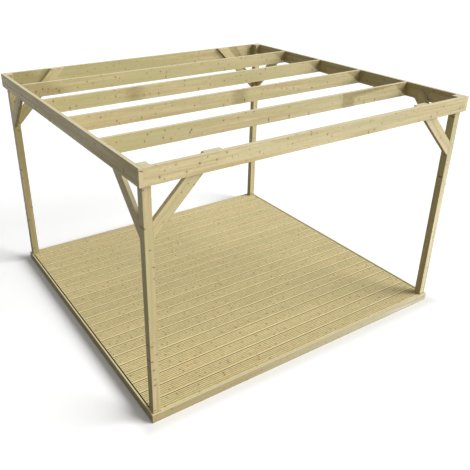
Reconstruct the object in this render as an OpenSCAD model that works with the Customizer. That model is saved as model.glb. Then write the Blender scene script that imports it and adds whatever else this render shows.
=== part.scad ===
/* [Ring] */
// Outside width of the beam ring, from left to right
ring_w = 3600; // [3000:10:4200]
// Outside depth of the beam ring, from front to back
ring_d = 3430; // [3000:10:4200]
// Height of the ring's top above the ground
ring_top = 2386; // [2100:1:2700]
// Thickness of the ring beams
beam_t = 35; // [25:1:50]
// Depth of the ring beams and rafters
beam_h = 147; // [100:1:200]

/* [Posts and braces] */
// Side of the square corner posts
post_w = 75; // [60:1:110]
// Height from a brace's lower tip to the top of the ring
brace_drop = 606; // [450:1:640]
// Width of a brace across its face
brace_w = 110; // [80:1:140]
// Thickness of the braces at the front and back
brace_t = 40; // [25:1:60]
// Thickness of the braces at the sides
side_brace_t = 35; // [25:1:60]
// Depth of a side brace's highest corner below the ring's top
side_head = 48; // [30:1:80]

/* [Rafters] */
// Thickness of the rafters
rafter_t = 35; // [25:1:60]
// Distance from the ring's front face to the first rafter
rafter_first = 725; // [500:1:900]
// Distance from the last rafter to the ring's back face
rafter_last = 631; // [500:1:900]
// Number of rafters inside the ring
rafter_n = 4; // [2:1:6]

/* [Deck] */
// Thickness of the fascia round the deck
fascia_t = 17; // [12:1:30]
// Height of the joists
joist_h = 63; // [45:1:95]
// Thickness of the joists
joist_t = 38; // [30:1:60]
// Number of joists between the two side joists
joist_n = 7; // [5:1:9]

/* [Deck boards] */
// Width of a deck board
board_w = 140; // [120:1:160]
// Thickness of a deck board
board_t = 24; // [18:1:35]
// Gap wanted between two boards, before the row is spread to fill the deck
board_gap = 6; // [3:0.5:10]
// Gap between the outer boards and the fascia in front of and behind them
edge_gap = 2; // [1:0.5:6]
// Gap between the ends of the boards and the side fascias
end_gap = 13; // [3:1:25]
// Gap round a post where a board is notched to pass it
notch_gap = 2; // [1:0.5:5]
// Radius of the long upper edges of a board
board_round = 7; // [1:0.5:8]
// Distance from one groove of the tread to the next
groove_pitch = 7.5; // [6:0.5:12]
// Width of a groove at the surface
groove_w = 4; // [2:0.5:5]
// Depth of a groove
groove_d = 2; // [1:0.5:4]
// Plain margin beside the grooves, along each edge of a board
groove_margin = 10; // [8:1:20]

/* [Edges] */
// Width of the chamfer along the edges of the sawn timber
arris = 1.5; // [1:0.5:6]

/* [Hidden] */
wood = [0.80, 0.73, 0.53];
deck_wood = [0.74, 0.67, 0.47];
joist_wood = [0.66, 0.60, 0.42];

// Half widths from the middle of the deck to the outer faces of the posts
post_x = ring_w / 2 - beam_t;
post_y = ring_d / 2 - beam_t;
// and to their inner faces
bay_x = post_x - post_w;
bay_y = post_y - post_w;

beam_z = ring_top - beam_h;
deck_top = joist_h + board_t;

// Lengths of the braces along their lower edge: the front and back ones run past the ring's top,
// where they are cut level, and the side ones end square below it
cross_brace_l = brace_drop * sqrt(2) + brace_w;
side_brace_l = (brace_drop - side_head) * sqrt(2) - brace_w;

// Rafters stand at equal steps from the first to the last
rafter_pitch = (ring_d - rafter_first - rafter_last - rafter_t) / (rafter_n - 1);

// The row of boards fills the depth between the front and back fascias
row_d = 2 * (post_y - edge_gap);
board_n = round((row_d + board_gap) / (board_w + board_gap));
board_pitch = (row_d - board_w) / (board_n - 1);
board_l = 2 * (post_x - end_gap);
groove_n = floor((board_w - 2 * groove_margin) / groove_pitch);

// Joists stand at equal steps between the side joists
joist_step = (2 * post_x - joist_t) / (joist_n + 1);
// Joists run between the front and back joists
joist_l = 2 * (post_y - joist_t);

// Section of a sawn timber, centred on w and standing on its base, with chamfered corners
module section(w, h) {
    polygon([
        [-w / 2 + arris, 0], [w / 2 - arris, 0],
        [w / 2, arris], [w / 2, h - arris],
        [w / 2 - arris, h], [-w / 2 + arris, h],
        [-w / 2, h - arris], [-w / 2, arris]
    ]);
}

// Timber lying along X, centred on its length and thickness, with its underside at z = 0
module timber_x(l, w, h) {
    translate([-l / 2, 0, 0])
        rotate([90, 0, 90])
            linear_extrude(l)
                section(w, h);
}

// Timber lying along Y
module timber_y(l, w, h) {
    rotate([0, 0, 90])
        timber_x(l, w, h);
}

// Turns a shape made for the front left corner into the like one at another corner
module at_corner(right, back) {
    mirror([right ? 1 : 0, 0, 0])
        mirror([0, back ? 1 : 0, 0])
            children();
}

// Post from the ground to the top of the ring
module post(right, back) {
    color(wood)
        at_corner(right, back)
            translate([-post_x + post_w / 2, -post_y, 0])
                linear_extrude(ring_top)
                    section(post_w, post_w);
}

// Beams over the front and back, fitted between the two side beams
module cross_beam(back) {
    color(wood)
        at_corner(false, back)
            translate([0, -post_y - beam_t / 2, beam_z])
                timber_x(2 * post_x, beam_t, beam_h);
}

// Beams over the sides, which run through so that their ends show at the front and back
module side_beam(right) {
    color(wood)
        at_corner(right, false)
            translate([-post_x - beam_t / 2, 0, beam_z])
                timber_y(ring_d, beam_t, beam_h);
}

// Brace in the plane y = 0 to t, from a post's side at x = 0 up towards the ring's top at z = 0
module brace(t, l) {
    intersection() {
        translate([0, t / 2, -brace_drop])
            rotate([0, -45, 0])
                translate([(l - brace_w) / 2, 0, 0])
                    timber_x(l + brace_w, t, brace_w);
        translate([0, 0, -brace_drop])
            cube([brace_drop, t, brace_drop]);
    }
}

// Place of a brace that lies against the front or back beam
module on_cross_beam(right, back) {
    at_corner(right, back)
        translate([-bay_x, -post_y, ring_top])
            children();
}

// Place of a brace that lies against a side beam
module on_side_beam(right, back) {
    at_corner(right, back)
        translate([-post_x, -bay_y, ring_top])
            mirror([1, -1, 0])
                children();
}

module cross_brace(right, back) {
    color(wood)
        on_cross_beam(right, back)
            brace(brace_t, cross_brace_l);
}

module side_brace(right, back) {
    color(wood)
        on_side_beam(right, back)
            brace(side_brace_t, side_brace_l);
}

// Rafter between the side beams
module rafter(i) {
    y = -ring_d / 2 + rafter_first + (i - 1) * rafter_pitch + rafter_t / 2;
    color(wood)
        translate([0, y, beam_z])
            timber_x(2 * post_x, rafter_t, beam_h);
}

// Fascia along the front or back, on the posts' outer faces and past the ends of the side fascias
module cross_fascia(back) {
    color(wood)
        at_corner(false, back)
            translate([0, -post_y - fascia_t / 2, 0])
                timber_x(2 * (post_x + fascia_t), fascia_t, deck_top);
}

module side_fascia(right) {
    color(wood)
        at_corner(right, false)
            translate([-post_x - fascia_t / 2, 0, 0])
                timber_y(2 * post_y, fascia_t, deck_top);
}

// Joists just inside the fascia, from post to post
module cross_rim_joist(back) {
    color(joist_wood)
        at_corner(false, back)
            translate([0, -post_y + joist_t / 2, 0])
                timber_x(2 * bay_x, joist_t, joist_h);
}

module side_rim_joist(right) {
    color(joist_wood)
        at_corner(right, false)
            translate([-post_x + joist_t / 2, 0, 0])
                timber_y(2 * bay_y, joist_t, joist_h);
}

module joist(i) {
    x = -post_x + joist_t / 2 + i * joist_step;
    color(joist_wood)
        translate([x, 0, 0])
            timber_y(joist_l, joist_t, joist_h);
}

// Points of a quarter round of the board's upper edge, from angle a to a + 90
function quarter(x, a) = [
    for (s = [0 : 3])
        [x + board_round * cos(a + 30 * s), board_t - board_round + board_round * sin(a + 30 * s)]
];

// Points of one groove of the tread, from right to left
function groove(x) = [
    [x + groove_w / 2, board_t],
    [x + groove_w / 4, board_t - groove_d],
    [x - groove_w / 4, board_t - groove_d],
    [x - groove_w / 2, board_t]
];

// Section of a deck board: flat underside, round upper edges and a row of fine grooves
module board_section() {
    round_x = board_w / 2 - board_round;
    polygon(concat(
        [[-board_w / 2, 0], [board_w / 2, 0]],
        quarter(round_x, 0),
        [for (i = [groove_n - 1 : -1 : 0]) each groove((i - (groove_n - 1) / 2) * groove_pitch)],
        quarter(-round_x, 90)
    ));
}

// Board number i from the front, laid on the joists
module board(i) {
    translate([-board_l / 2, -row_d / 2 + board_w / 2 + i * board_pitch, joist_h])
        rotate([90, 0, 90])
            linear_extrude(board_l)
                board_section();
}

// First or last board, notched round the two posts that stand in its way
module end_board(back) {
    notch = post_w + notch_gap;
    color(deck_wood)
        at_corner(false, back)
            difference() {
                board(0);
                for (right = [false, true])
                    at_corner(right, false)
                        translate([-post_x - notch_gap, -post_y - notch_gap, 0])
                            cube([notch + notch_gap, notch + notch_gap, deck_top + notch_gap]);
            }
}

module deck_boards() {
    color(deck_wood)
        for (i = [1 : board_n - 2])
            board(i);
}

post(false, false);  // front_left_post
post(true, false);  // front_right_post
post(false, true);  // back_left_post
post(true, true);  // back_right_post
cross_beam(false);  // front_beam
cross_beam(true);  // back_beam
side_beam(false);  // left_beam
side_beam(true);  // right_beam
for (i = [1 : rafter_n])
    rafter(i);
cross_brace(false, false);  // front_brace_left
cross_brace(true, false);  // front_brace_right
cross_brace(false, true);  // back_brace_left
cross_brace(true, true);  // back_brace_right
side_brace(false, false);  // left_brace_front
side_brace(false, true);  // left_brace_back
side_brace(true, false);  // right_brace_front
side_brace(true, true);  // right_brace_back
cross_fascia(false);  // front_fascia
cross_fascia(true);  // back_fascia
side_fascia(false);  // left_fascia
side_fascia(true);  // right_fascia
cross_rim_joist(false);  // front_rim_joist
cross_rim_joist(true);  // back_rim_joist
side_rim_joist(false);  // left_rim_joist
side_rim_joist(true);  // right_rim_joist
for (i = [1 : joist_n])
    joist(i);
end_board(false);  // front_deck_board
deck_boards();
end_board(true);  // back_deck_board
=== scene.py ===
from itertools import count
from math import radians

import bpy
from mathutils import Euler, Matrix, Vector


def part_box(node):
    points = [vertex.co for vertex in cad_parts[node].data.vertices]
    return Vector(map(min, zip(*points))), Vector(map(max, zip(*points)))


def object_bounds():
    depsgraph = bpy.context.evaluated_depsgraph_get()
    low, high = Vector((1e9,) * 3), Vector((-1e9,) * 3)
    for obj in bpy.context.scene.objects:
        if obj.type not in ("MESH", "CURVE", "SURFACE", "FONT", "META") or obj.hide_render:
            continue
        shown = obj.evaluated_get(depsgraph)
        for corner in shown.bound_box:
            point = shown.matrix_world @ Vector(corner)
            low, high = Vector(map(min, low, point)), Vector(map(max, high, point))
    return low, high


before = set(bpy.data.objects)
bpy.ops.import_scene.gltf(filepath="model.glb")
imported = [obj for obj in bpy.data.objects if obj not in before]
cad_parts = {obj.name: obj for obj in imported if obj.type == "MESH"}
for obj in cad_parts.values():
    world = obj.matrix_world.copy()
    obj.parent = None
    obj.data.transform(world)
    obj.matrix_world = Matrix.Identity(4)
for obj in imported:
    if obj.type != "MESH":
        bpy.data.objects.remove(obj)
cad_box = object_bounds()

# Deck frame: a rim of joists between the posts and more joists from front to back.
# Sawn pressure-treated pine, nailed through the rim into the joists' ends.
# Seen from below and as dark wood in the gaps between the boards.
PALE_WOOD = (0.51, 0.43, 0.22, 1)
HONEY_WOOD = (0.405, 0.32, 0.14, 1)
PINK_WOOD = (0.47, 0.365, 0.195, 1)
GREEN_TREATMENT = (0.385, 0.35, 0.155, 1)
HEART_WOOD = (0.325, 0.23, 0.1, 1)
DULL_WOOD = (0.2, 0.165, 0.067, 1)
# Painted light: the pale colour that faces looking up are blended towards
PAINTED_TOP_LIGHT = (0.82, 0.74, 0.49, 1)
END_GRAIN = (0.55, 0.47, 0.27, 1)
KNOT_WOOD = (0.17, 0.09, 0.035, 1)

# Each noise: waves a metre along the grain, waves a metre across it, and detail
HEART_WANDER = (0.9, 2.0, 2.0)
STREAKS = (1.3, 42.0, 4.0)
MOTTLE = (25.0, 70.0, 2.0)
SAP = (1.7, 16.0, 3.0)
TREATMENT = (0.8, 6.0, 3.0)
FIBRES = (9.0, 420.0, 2.0)
# Each drift of colour: its noise, the noise's values where it begins and is full, its share and its colour
COLOUR_DRIFTS = (
    (STREAKS, 0.36, 0.68, 1.0, HONEY_WOOD),
    (MOTTLE, 0.45, 0.75, 0.35, HEART_WOOD),
    (SAP, 0.5, 0.7, 0.6, PINK_WOOD),
    (TREATMENT, 0.4, 0.65, 0.7, GREEN_TREATMENT),
)

# The log, in metres, and where in each growth ring its dark late wood begins and ends
LOG_RADIUS = 0.1
HEART_SWAY = 0.09
RING_WIDTH = 0.0045
LATE_WOOD_BEGINS = (0.35, 0.85)
LATE_WOOD_ENDS = (1.0, 0.92)
# Knots: their radii in spaces between knots, and where a knot and the dark wood round it fade, in knot radii
KNOTS_PER_METRE = 12.0
KNOT_DRAWS = (0.1, 1.0)
KNOT_RADII = (0.038, 0.1)
KNOT_FADE = (1.0, 0.55)
HALO_FADE = (2.6, 0.8)
# How far a knot pushes the growth rings outwards, in metres
KNOT_BULGE = 0.008

# The planed surface: its roughness over the streaks, and the heights of late wood and knots over the fibres
STREAK_RANGE = (0.2, 0.8)
PLANED_ROUGHNESS = (0.42, 0.6)
LATE_WOOD_HEIGHT = 0.5
KNOT_HEIGHT = 0.8
RELIEF_STRENGTH = 0.5
RELIEF_DEPTH = 0.0008
PLANED_GLOSS = 0.4


def link(tree, source, target):
    tree.links.new(source, target)


def math_node(tree, operation, a, b=None):
    node = tree.nodes.new("ShaderNodeMath")
    node.operation = operation
    for socket, value in zip(node.inputs, (a, b)):
        if value is None:
            continue
        if isinstance(value, (int, float)):
            socket.default_value = value
        else:
            link(tree, value, socket)
    return node.outputs[0]


def ramp(tree, value, low, high, out_low=0.0, out_high=1.0):
    node = tree.nodes.new("ShaderNodeMapRange")
    node.interpolation_type = "SMOOTHSTEP"
    link(tree, value, node.inputs["Value"])
    node.inputs["From Min"].default_value = low
    node.inputs["From Max"].default_value = high
    node.inputs["To Min"].default_value = out_low
    node.inputs["To Max"].default_value = out_high
    return node.outputs["Result"]


def stretched_noise(tree, vector, along, across, detail):
    scale = tree.nodes.new("ShaderNodeVectorMath")
    scale.operation = "MULTIPLY"
    link(tree, vector, scale.inputs[0])
    scale.inputs[1].default_value = (along, across, across)
    noise = tree.nodes.new("ShaderNodeTexNoise")
    noise.inputs["Scale"].default_value = 1.0
    noise.inputs["Detail"].default_value = detail
    link(tree, scale.outputs[0], noise.inputs["Vector"])
    return noise.outputs["Fac"]


def blend_colour(tree, amount, under, over):
    node = tree.nodes.new("ShaderNodeMix")
    node.data_type = "RGBA"
    link(tree, amount, node.inputs["Factor"])
    for socket, colour in ((node.inputs["A"], under), (node.inputs["B"], over)):
        if isinstance(colour, tuple):
            socket.default_value = colour
        else:
            link(tree, colour, socket)
    return node.outputs["Result"]


def pine_group():
    tree = bpy.data.node_groups.new("sawn_pine", "ShaderNodeTree")
    for name, kind in (("Grain", "Vector"), ("End", "Float"), ("Tone", "Float"), ("Darker", "Color")):
        tree.interface.new_socket(name, in_out="INPUT", socket_type="NodeSocket" + kind)
    for name, kind in (("Colour", "Color"), ("Roughness", "Float"), ("Height", "Float")):
        tree.interface.new_socket(name, in_out="OUTPUT", socket_type="NodeSocket" + kind)
    given = tree.nodes.new("NodeGroupInput")
    made = tree.nodes.new("NodeGroupOutput")
    grain = given.outputs["Grain"]

    # The heart of the log wanders along the timber
    axes = tree.nodes.new("ShaderNodeSeparateXYZ")
    link(tree, grain, axes.inputs[0])
    wander = math_node(tree, "SUBTRACT", stretched_noise(tree, grain, *HEART_WANDER), 0.5)
    sway = math_node(tree, "MULTIPLY", wander, HEART_SWAY)
    side = math_node(tree, "ADD", axes.outputs["Y"], sway)
    depth = math_node(tree, "ADD", axes.outputs["Z"], sway)
    side_square = math_node(tree, "MULTIPLY", side, side)
    depth_square = math_node(tree, "MULTIPLY", depth, depth)
    radius = math_node(tree, "SQRT", math_node(tree, "ADD", side_square, depth_square))

    # Knots: branches that grow out from the heart, each with a ring of darker wood round it
    round_log = math_node(tree, "MULTIPLY", math_node(tree, "ARCTAN2", depth, side), LOG_RADIUS)
    bark = tree.nodes.new("ShaderNodeCombineXYZ")
    link(tree, axes.outputs["X"], bark.inputs["X"])
    link(tree, round_log, bark.inputs["Y"])
    branches = tree.nodes.new("ShaderNodeTexVoronoi")
    branches.voronoi_dimensions = "2D"
    branches.inputs["Scale"].default_value = KNOTS_PER_METRE
    link(tree, bark.outputs["Vector"], branches.inputs["Vector"])
    draws = tree.nodes.new("ShaderNodeSeparateColor")
    link(tree, branches.outputs["Color"], draws.inputs[0])
    branch_size = ramp(tree, draws.outputs["Red"], *KNOT_DRAWS, *KNOT_RADII)
    reach = math_node(tree, "DIVIDE", branches.outputs["Distance"], branch_size)
    knot = ramp(tree, reach, *KNOT_FADE)
    halo = ramp(tree, reach, *HALO_FADE)

    # Growth rings round the heart, which swell round the knots
    bulge = math_node(tree, "ADD", radius, math_node(tree, "MULTIPLY", halo, KNOT_BULGE))
    ring = math_node(tree, "FRACT", math_node(tree, "DIVIDE", bulge, RING_WIDTH))
    late_begins = ramp(tree, ring, *LATE_WOOD_BEGINS)
    late_wood = math_node(tree, "MULTIPLY", late_begins, ramp(tree, ring, *LATE_WOOD_ENDS))

    # Streaks along the grain, and drifts of colour from the sap and the treatment
    wood = PALE_WOOD
    for noise, begins, full, share, colour in COLOUR_DRIFTS:
        drift = ramp(tree, stretched_noise(tree, grain, *noise), begins, full, 0.0, share)
        wood = blend_colour(tree, drift, wood, colour)
    # What marks the wood over them: where each mark lies, its share and its colour
    marks = (
        (late_wood, 0.18, HEART_WOOD),
        (given.outputs["Tone"], 1.0, given.outputs["Darker"]),
        (given.outputs["End"], 0.5, END_GRAIN),
        (halo, 0.35, HEART_WOOD),
        (knot, 0.95, KNOT_WOOD),
    )
    for mark, share, colour in marks:
        wood = blend_colour(tree, math_node(tree, "MULTIPLY", mark, share), wood, colour)
    link(tree, wood, made.inputs["Colour"])

    streak = stretched_noise(tree, grain, *STREAKS)
    link(tree, ramp(tree, streak, *STREAK_RANGE, *PLANED_ROUGHNESS), made.inputs["Roughness"])
    late_height = math_node(tree, "MULTIPLY", late_wood, LATE_WOOD_HEIGHT)
    relief = math_node(tree, "ADD", stretched_noise(tree, grain, *FIBRES), late_height)
    knot_height = math_node(tree, "MULTIPLY", knot, KNOT_HEIGHT)
    link(tree, math_node(tree, "ADD", relief, knot_height), made.inputs["Height"])
    return tree


SAWN_PINE = pine_group()
# Cosines between a face and the grain where end grain begins and is full
END_FACING = (0.6, 0.9)


def start_pine(name, along, tone, darker):
    material = bpy.data.materials.new(name)
    material.use_nodes = True
    tree = material.node_tree
    shader = tree.nodes["Principled BSDF"]
    shader.inputs["Specular IOR Level"].default_value = PLANED_GLOSS
    pine = tree.nodes.new("ShaderNodeGroup")
    pine.node_tree = SAWN_PINE
    pine.inputs["Tone"].default_value = tone
    pine.inputs["Darker"].default_value = darker
    link(tree, pine.outputs["Roughness"], shader.inputs["Roughness"])
    bump = tree.nodes.new("ShaderNodeBump")
    bump.inputs["Strength"].default_value = RELIEF_STRENGTH
    bump.inputs["Distance"].default_value = RELIEF_DEPTH
    link(tree, pine.outputs["Height"], bump.inputs["Height"])
    link(tree, bump.outputs["Normal"], shader.inputs["Normal"])
    facing = tree.nodes.new("ShaderNodeVectorMath")
    facing.operation = "DOT_PRODUCT"
    facing.inputs[1].default_value = along
    geometry = tree.nodes.new("ShaderNodeNewGeometry")
    link(tree, geometry.outputs["True Normal"], facing.inputs[0])
    end = math_node(tree, "ABSOLUTE", facing.outputs["Value"])
    link(tree, ramp(tree, end, *END_FACING), pine.inputs["End"])
    return material, tree, pine


# Each timber comes from another place along the log, with the heart a shuffled number of steps beside it
LOG_STEP = 7.3
NEAREST_HEART = Vector((0, 0.05, 0.03))
HEART_STEPS = (0.012, 0.011)
# How far a face looks up where the painted light on upper faces begins and is full, and its share
UP_FACING = (0.5, 0.9)
TOP_LIGHT_SHARE = 0.68
log_numbers = count()


def pine(node, heading, pitch, tone=0.0):
    low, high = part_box(node)
    turn = Euler((0, -radians(pitch), radians(heading)))
    along = turn.to_matrix() @ Vector((1, 0, 0))
    material, tree, grain = start_pine("pine_" + node, along, tone, DULL_WOOD)
    number = next(log_numbers)
    side_step = HEART_STEPS[0] * (number * 5 % 7)
    depth_step = HEART_STEPS[1] * (number * 3 % 5)
    heart = NEAREST_HEART + Vector((number * LOG_STEP, side_step, depth_step))
    coords = tree.nodes.new("ShaderNodeTexCoord")
    mapping = tree.nodes.new("ShaderNodeMapping")
    mapping.vector_type = "TEXTURE"
    mapping.inputs["Location"].default_value = (low + high) / 2 + turn.to_matrix() @ heart
    mapping.inputs["Rotation"].default_value = turn
    link(tree, coords.outputs["Object"], mapping.inputs["Vector"])
    link(tree, mapping.outputs["Vector"], grain.inputs["Grain"])
    geometry = tree.nodes.new("ShaderNodeNewGeometry")
    facing = tree.nodes.new("ShaderNodeSeparateXYZ")
    link(tree, geometry.outputs["True Normal"], facing.inputs[0])
    # Painted light: faces that look up are blended towards a pale colour, as if lit from above
    painted_top_light = ramp(tree, facing.outputs["Z"], *UP_FACING, 0.0, TOP_LIGHT_SHARE)
    colour = blend_colour(tree, painted_top_light, grain.outputs["Colour"], PAINTED_TOP_LIGHT)
    link(tree, colour, tree.nodes["Principled BSDF"].inputs["Base Color"])
    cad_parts[node].material_slots[0].material = material


JOIST_TONE = 0.15
for side, heading in (("front", 0), ("back", 0), ("left", 90), ("right", 90)):
    pine(side + "_rim_joist", heading, 0, JOIST_TONE)
joists = [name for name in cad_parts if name.startswith("joist_")]
for name in sorted(joists):
    pine(name, 90, 0, JOIST_TONE)

# Corner posts: square planed pine, from the ground up to the top of the ring.
# They stand inside the deck's fascia and are screwed to it and to the ring's beams.
for front in ("front", "back"):
    for side in ("left", "right"):
        pine(f"{front}_{side}_post", 0, 90)

# Fascia: thin planed boards round the deck, flush with its surface.
# They are screwed to the posts and rim joists and cover the joists' ends.
# The front and back fascias are painted darker by their tone: painted shade near the floor
FASCIAS = (("front", 0, 0.4), ("back", 0, 0.4), ("left", 90, 0.0), ("right", 90, 0.0))
for side, heading, tone in FASCIAS:
    pine(side + "_fascia", heading, 0, tone)

# Deck boards: grooved treated pine, laid from side to side and screwed down on the joists.
# Each is cut from another log, so grain and tint change from board to board.
BOARD_GAP = 0.006
first_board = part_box("front_deck_board")
last_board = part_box("back_deck_board")
board_width = first_board[1].y - first_board[0].y
row_depth = last_board[1].y - first_board[0].y
board_count = round(row_depth / (board_width + BOARD_GAP))
board_pitch = (row_depth - board_width) / (board_count - 1)

WORN_BOARD = (0.425, 0.36, 0.19, 1)
BOARD_WEAR = 0.5
BOARD_GLOSS = 0.3
boards, tree, grain = start_pine("deck_pine", (1, 0, 0), BOARD_WEAR, WORN_BOARD)
shader = tree.nodes["Principled BSDF"]
shader.inputs["Specular IOR Level"].default_value = BOARD_GLOSS

# Every board draws its own place in a log: along it, beside its heart, and always above its heart
LOG_LENGTH = 60.0
HEART_SPREAD = 0.14
HEART_BELOW = 0.02
coords = tree.nodes.new("ShaderNodeTexCoord")
axes = tree.nodes.new("ShaderNodeSeparateXYZ")
link(tree, coords.outputs["Object"], axes.inputs[0])
row_start = first_board[0].y - (board_pitch - board_width) / 2
from_start = math_node(tree, "SUBTRACT", axes.outputs["Y"], row_start)
across = math_node(tree, "DIVIDE", from_start, board_pitch)
chance = tree.nodes.new("ShaderNodeTexWhiteNoise")
chance.noise_dimensions = "1D"
link(tree, math_node(tree, "FLOOR", across), chance.inputs["W"])
draws = tree.nodes.new("ShaderNodeSeparateColor")
link(tree, chance.outputs["Color"], draws.inputs[0])
part = math_node(tree, "FRACT", across)
within = math_node(tree, "MULTIPLY", part, board_pitch)
shift_along = math_node(tree, "MULTIPLY", draws.outputs["Red"], LOG_LENGTH)
shift_across = math_node(tree, "MULTIPLY", draws.outputs["Green"], HEART_SPREAD)
local = tree.nodes.new("ShaderNodeCombineXYZ")
link(tree, math_node(tree, "ADD", axes.outputs["X"], shift_along), local.inputs["X"])
link(tree, math_node(tree, "SUBTRACT", within, shift_across), local.inputs["Y"])
link(tree, math_node(tree, "ADD", axes.outputs["Z"], HEART_BELOW), local.inputs["Z"])
link(tree, local.outputs["Vector"], grain.inputs["Grain"])

# Painted highlight: the plain edges beside the grooves are painted paler, where the rounded edges catch the
# light. Where they begin and are full is in parts of the pitch
PAINTED_EDGE_HIGHLIGHT = (0.74, 0.635, 0.335, 1)
FRONT_EDGE = (0.115, 0.08)
BACK_EDGE = (0.86, 0.89)
EDGE_HIGHLIGHT_SHARE = 0.9
front_edge = ramp(tree, part, *FRONT_EDGE, 0.0, EDGE_HIGHLIGHT_SHARE)
back_edge = ramp(tree, part, *BACK_EDGE, 0.0, EDGE_HIGHLIGHT_SHARE)
edge_highlight = math_node(tree, "MAXIMUM", front_edge, back_edge)

# Speckles darken the tread, every third groove gets painted light and shade in bands, and each board has its
# tint
SPECKLE = (30.0, 110.0, 2.0)
SPECKLE_RANGE = (0.36, 0.66)
SPECKLE_SHADES = (1.07, 0.85)
GROOVE_PITCH = 0.0075
GROOVE_RANGE = (0.2, 0.42)
PAINTED_GROOVE_SHADES = (1.17, 0.62)
BOARD_TINTS = (1.31, 1.4)
specks = stretched_noise(tree, local.outputs["Vector"], *SPECKLE)
speckle = ramp(tree, specks, *SPECKLE_RANGE, *SPECKLE_SHADES)
from_rib = math_node(tree, "SUBTRACT", within, (board_pitch + GROOVE_PITCH) / 2)
three_grooves = math_node(tree, "FRACT", math_node(tree, "DIVIDE", from_rib, 3 * GROOVE_PITCH))
from_groove = math_node(tree, "ABSOLUTE", math_node(tree, "SUBTRACT", three_grooves, 0.5))
# Painted light and shade across the grooves: bands paler and darker at every third groove
painted_ribs = ramp(tree, from_groove, *GROOVE_RANGE, *PAINTED_GROOVE_SHADES)
tint = ramp(tree, draws.outputs["Blue"], 0.0, 1.0, *BOARD_TINTS)
shade = math_node(tree, "MULTIPLY", math_node(tree, "MULTIPLY", speckle, painted_ribs), tint)
shaded = tree.nodes.new("ShaderNodeVectorMath")
shaded.operation = "SCALE"
link(tree, grain.outputs["Colour"], shaded.inputs[0])
link(tree, shade, shaded.inputs["Scale"])
# The painted highlight along the board edges lies over the board's colour
surface = blend_colour(tree, edge_highlight, shaded.outputs[0], PAINTED_EDGE_HIGHLIGHT)

# Painted shade: a dark, dull colour below the grooves, in the gaps between the boards
GAP_SHADE_COLOUR = (0.05, 0.028, 0.004, 1)
GAP_SHADE_BEGINS = 0.0022
GAP_SHADE_FULL = 0.0042
deck_top = first_board[1].z
gap_shade = ramp(tree, axes.outputs["Z"], deck_top - GAP_SHADE_BEGINS, deck_top - GAP_SHADE_FULL)
# The painted shade in the gaps darkens the colour and makes it rough
link(tree, blend_colour(tree, gap_shade, surface, GAP_SHADE_COLOUR), shader.inputs["Base Color"])
link(tree, math_node(tree, "MAXIMUM", grain.outputs["Roughness"], gap_shade), shader.inputs["Roughness"])
for name in ("front_deck_board", "deck_boards", "back_deck_board"):
    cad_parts[name].material_slots[0].material = boards

# Ring beams: planed boards on edge, on the posts' outer faces and flush with their tops.
# The side beams run through, and the front and back beams are screwed between them.
BEAMS = (("front", 0, 0.0), ("back", 0, 0.2), ("left", 90, 0.0), ("right", 90, 0.0))
for side, heading, tone in BEAMS:
    pine(side + "_beam", heading, 0, tone)

# Rafters: boards like the ring's, parallel to the front and flush with its top.
# Their ends are screwed through the side beams.
RAFTER_TONE = 0.1
rafters = [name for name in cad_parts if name.startswith("rafter_")]
for name in sorted(rafters):
    pine(name, 0, 0, RAFTER_TONE)

# Knee braces: planed boards that lean between posts and beams, two at each corner.
# Each lies flat on its beam's inner face and is screwed to it, with its foot cut to the post.
BRACE_LEAN = 45
for side, lean in (("left", BRACE_LEAN), ("right", 180 - BRACE_LEAN)):
    for front in ("front", "back"):
        pine(f"{front}_brace_{side}", 0, lean)
for front, lean in (("front", BRACE_LEAN), ("back", 180 - BRACE_LEAN)):
    for side in ("left", "right"):
        pine(f"{side}_brace_{front}", 90, lean)

# Studio: a pale floor in a white room, with two lamps at the front right.
# Floor and room look white to the camera and in gloss, and throw less light on the wood than they show.
# In gloss the floor near the deck is painted darker, as painted shade from the deck and the ring.
FLOOR_SIZE = 200
FLOOR_BOUNCE = 0.25
# In gloss: distances from the middle where the floor's painted shade is dark and where it is white, and how
# white it is there
GLOSS_RADII = (2.6, 4.6)
GLOSS_WHITENESS = (0.1, 1.0)
# To the camera: the floor's colour, with painted shade at the deck, and past a narrow margin, where it is
# white
PAINTED_SHADE_MARGIN = 0.19
FLOOR_PAINTED_SHADE_AND_WHITE = (0.92, 1.22)


def white_in_view(tree, gloss=1.0):
    ray = tree.nodes.new("ShaderNodeLightPath")
    glossy = math_node(tree, "MULTIPLY", ray.outputs["Is Glossy Ray"], gloss)
    seen = math_node(tree, "MAXIMUM", ray.outputs["Is Camera Ray"], glossy)
    return math_node(tree, "MAXIMUM", seen, ray.outputs["Is Transmission Ray"])


bpy.ops.object.select_all(action="DESELECT")
bpy.ops.mesh.primitive_plane_add(size=FLOOR_SIZE)
floor = bpy.context.object
floor.name = "studio_floor"
floor_paint = bpy.data.materials.new("studio_floor")
floor_paint.use_nodes = True
tree = floor_paint.node_tree
tree.nodes.clear()
coords = tree.nodes.new("ShaderNodeTexCoord")
place = tree.nodes.new("ShaderNodeSeparateXYZ")
link(tree, coords.outputs["Object"], place.inputs[0])
beside = math_node(tree, "SUBTRACT", math_node(tree, "ABSOLUTE", place.outputs["X"]), cad_box[1].x)
before = math_node(tree, "SUBTRACT", math_node(tree, "ABSOLUTE", place.outputs["Y"]), cad_box[1].y)
clear_of_deck = math_node(tree, "MAXIMUM", beside, before)
seen = tree.nodes.new("ShaderNodeBsdfDiffuse")
# Painted shade on the floor round the deck, fading to white over the margin
link(tree, ramp(tree, clear_of_deck, 0.0, PAINTED_SHADE_MARGIN, *FLOOR_PAINTED_SHADE_AND_WHITE), seen.inputs["Color"])
bounced = tree.nodes.new("ShaderNodeBsdfDiffuse")
bounced.inputs["Color"].default_value = (FLOOR_BOUNCE, FLOOR_BOUNCE, FLOOR_BOUNCE, 1)
from_middle = tree.nodes.new("ShaderNodeVectorMath")
from_middle.operation = "LENGTH"
link(tree, coords.outputs["Object"], from_middle.inputs[0])
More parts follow.
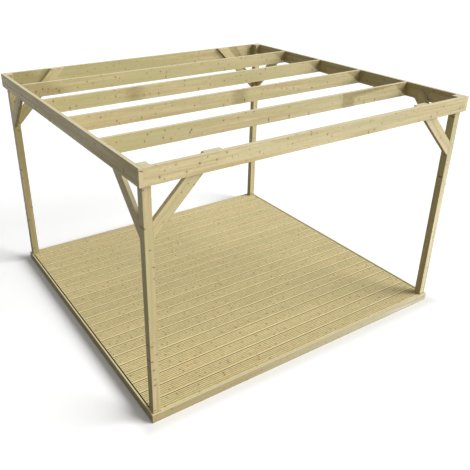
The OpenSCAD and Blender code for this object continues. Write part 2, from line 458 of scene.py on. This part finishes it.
# Painted shade in gloss: the floor reflects darker near the middle
gloss = ramp(tree, from_middle.outputs["Value"], *GLOSS_RADII, *GLOSS_WHITENESS)
mix = tree.nodes.new("ShaderNodeMixShader")
link(tree, white_in_view(tree, gloss), mix.inputs["Fac"])
link(tree, bounced.outputs[0], mix.inputs[1])
link(tree, seen.outputs[0], mix.inputs[2])
out = tree.nodes.new("ShaderNodeOutputMaterial")
link(tree, mix.outputs[0], out.inputs["Surface"])
floor.data.materials.append(floor_paint)

ROOM_WHITE = (1, 1, 1, 1)
SKY_LIGHT = 0.315
world = bpy.data.worlds.new("studio")
bpy.context.scene.world = world
world.use_nodes = True
tree = world.node_tree
tree.nodes.clear()
white = tree.nodes.new("ShaderNodeBackground")
white.inputs["Color"].default_value = ROOM_WHITE
soft = tree.nodes.new("ShaderNodeBackground")
soft.inputs["Color"].default_value = ROOM_WHITE
soft.inputs["Strength"].default_value = SKY_LIGHT
mix = tree.nodes.new("ShaderNodeMixShader")
link(tree, white_in_view(tree), mix.inputs["Fac"])
link(tree, soft.outputs[0], mix.inputs[1])
link(tree, white.outputs[0], mix.inputs[2])
out = tree.nodes.new("ShaderNodeOutputWorld")
link(tree, mix.outputs[0], out.inputs["Surface"])

# Two lamps one above the other: a wide soft one, and a small one that shines up under the ring.
# Each has its height and spread in degrees, with its strength between them
LAMP_HEADING = 51.5
LAMPS = (("key_lamp", 29, 3.9, 42), ("low_lamp", -29, 1.6, 1.5))
for name, height, energy, spread in LAMPS:
    lamp = bpy.data.lights.new(name, "SUN")
    lamp.energy = energy
    lamp.angle = radians(spread)
    sun = bpy.data.objects.new(name, lamp)
    bpy.context.scene.collection.objects.link(sun)
    sun.rotation_euler = (radians(90 - height), 0, radians(LAMP_HEADING))
# The floor throws no shadow from the low one, which is the last made
passed = bpy.data.collections.new("passed_by_low_lamp")
passed.objects.link(floor)
passed.collection_objects[0].light_linking.link_state = "EXCLUDE"
sun.light_linking.blocker_collection = passed

# Camera: above the ring and to the left of the front, looking down on the deck as the photograph does.
# Its lens is shifted a little, because the photograph is framed off its middle.
CAMERA_PLACE = (-3.4214, -5.118, 3.8677)
CAMERA_TURN = (63.155, -0.1, -32.541)
camera_data = bpy.data.cameras.new("camera")
camera_data.lens = 44.89
camera_data.sensor_width = 36
camera_data.shift_x = 0.0609
camera_data.shift_y = -0.0261
camera = bpy.data.objects.new("camera", camera_data)
bpy.context.scene.collection.objects.link(camera)
camera.location = CAMERA_PLACE
camera.rotation_euler = [radians(angle) for angle in CAMERA_TURN]
bpy.context.scene.camera = camera
bpy.context.scene.view_settings.view_transform = "Standard"
